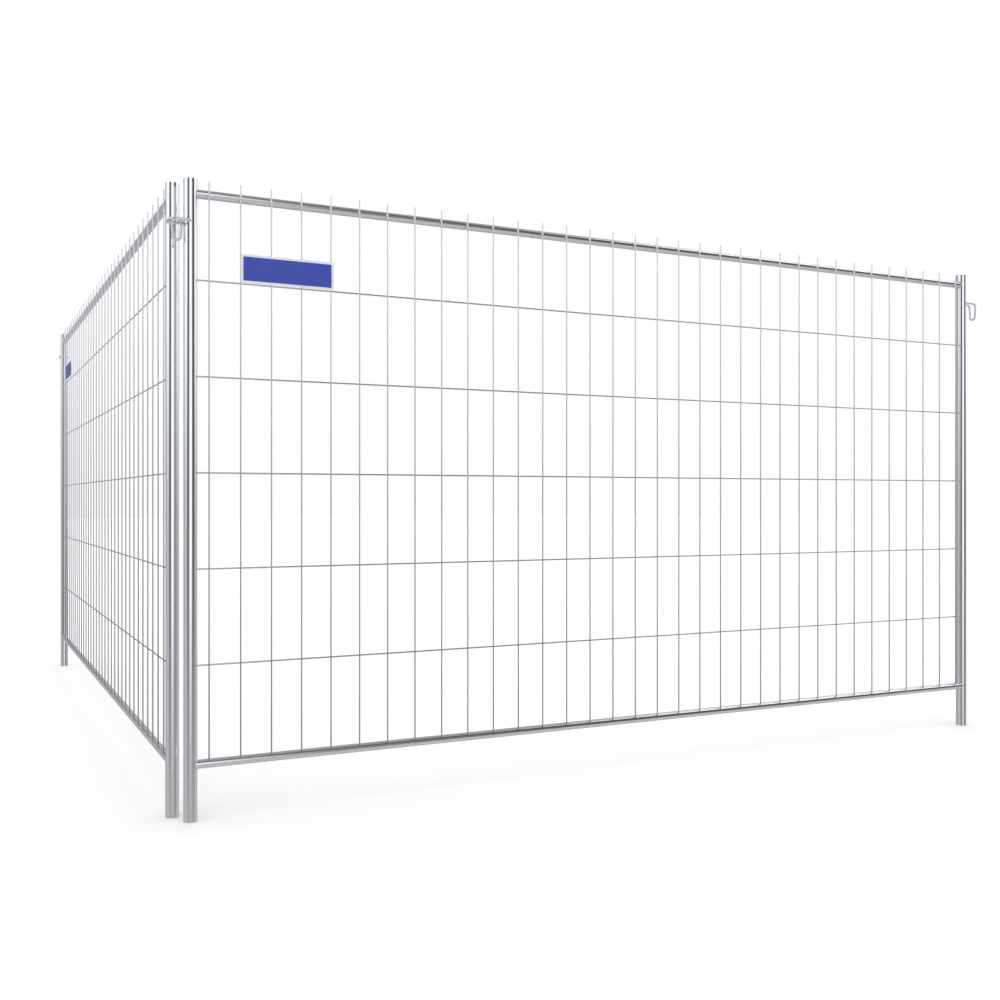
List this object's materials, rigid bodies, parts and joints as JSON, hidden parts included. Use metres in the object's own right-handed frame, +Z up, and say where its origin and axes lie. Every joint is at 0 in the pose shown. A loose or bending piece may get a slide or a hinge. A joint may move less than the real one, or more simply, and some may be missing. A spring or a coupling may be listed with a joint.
{
  "type": "temporary fence panel pair",
  "caption": "Galvanised welded-mesh site fence panels hung together at a corner by a bent-bar hook in an eye, with tube posts, rails and a bare blue sign.",
  "frame": {"origin": "axis of the front panel's left post, at the ground", "axes": "+X along the front panel to its right post, +Y behind the front panel, where the side panel runs, +Z up the posts"},
  "size_m": [3.5568, 3.5815, 2],
  "materials": {
    "galvanised_steel": "hot-dip galvanised, bright",
    "sign_white": "satin white enamel",
    "sign_blue": "satin blue film"
  },
  "bodies": {
    "front_panel": {"front_left_post": "galvanised_steel", "front_right_post": "galvanised_steel", "front_top_rail": "galvanised_steel", "front_bottom_rail": "galvanised_steel", "front_upright_wires": "galvanised_steel", "front_cross_wire_1": "galvanised_steel", "front_cross_wire_2": "galvanised_steel", "front_cross_wire_3": "galvanised_steel", "front_cross_wire_4": "galvanised_steel", "front_cross_wire_5": "galvanised_steel", "front_hook": "galvanised_steel", "front_eye": "galvanised_steel", "front_sign_plate": "sign_white", "front_sign_face": "sign_blue", "front_sign_clips": "galvanised_steel"},
    "side_panel": {"side_left_post": "galvanised_steel", "side_right_post": "galvanised_steel", "side_top_rail": "galvanised_steel", "side_bottom_rail": "galvanised_steel", "side_upright_wires": "galvanised_steel", "side_cross_wire_1": "galvanised_steel", "side_cross_wire_2": "galvanised_steel", "side_cross_wire_3": "galvanised_steel", "side_cross_wire_4": "galvanised_steel", "side_cross_wire_5": "galvanised_steel", "side_hook": "galvanised_steel", "side_eye": "galvanised_steel", "side_sign_plate": "sign_white", "side_sign_face": "sign_blue", "side_sign_clips": "galvanised_steel"}
  },
  "joints": [
    {"name": "corner_swing", "type": "hinge", "parent": "front_panel", "child": "side_panel", "pos_m": [-0.04208, 0, 1.867], "axis": [0, 0, 1], "range_deg": [-6, 186]}
  ]
}
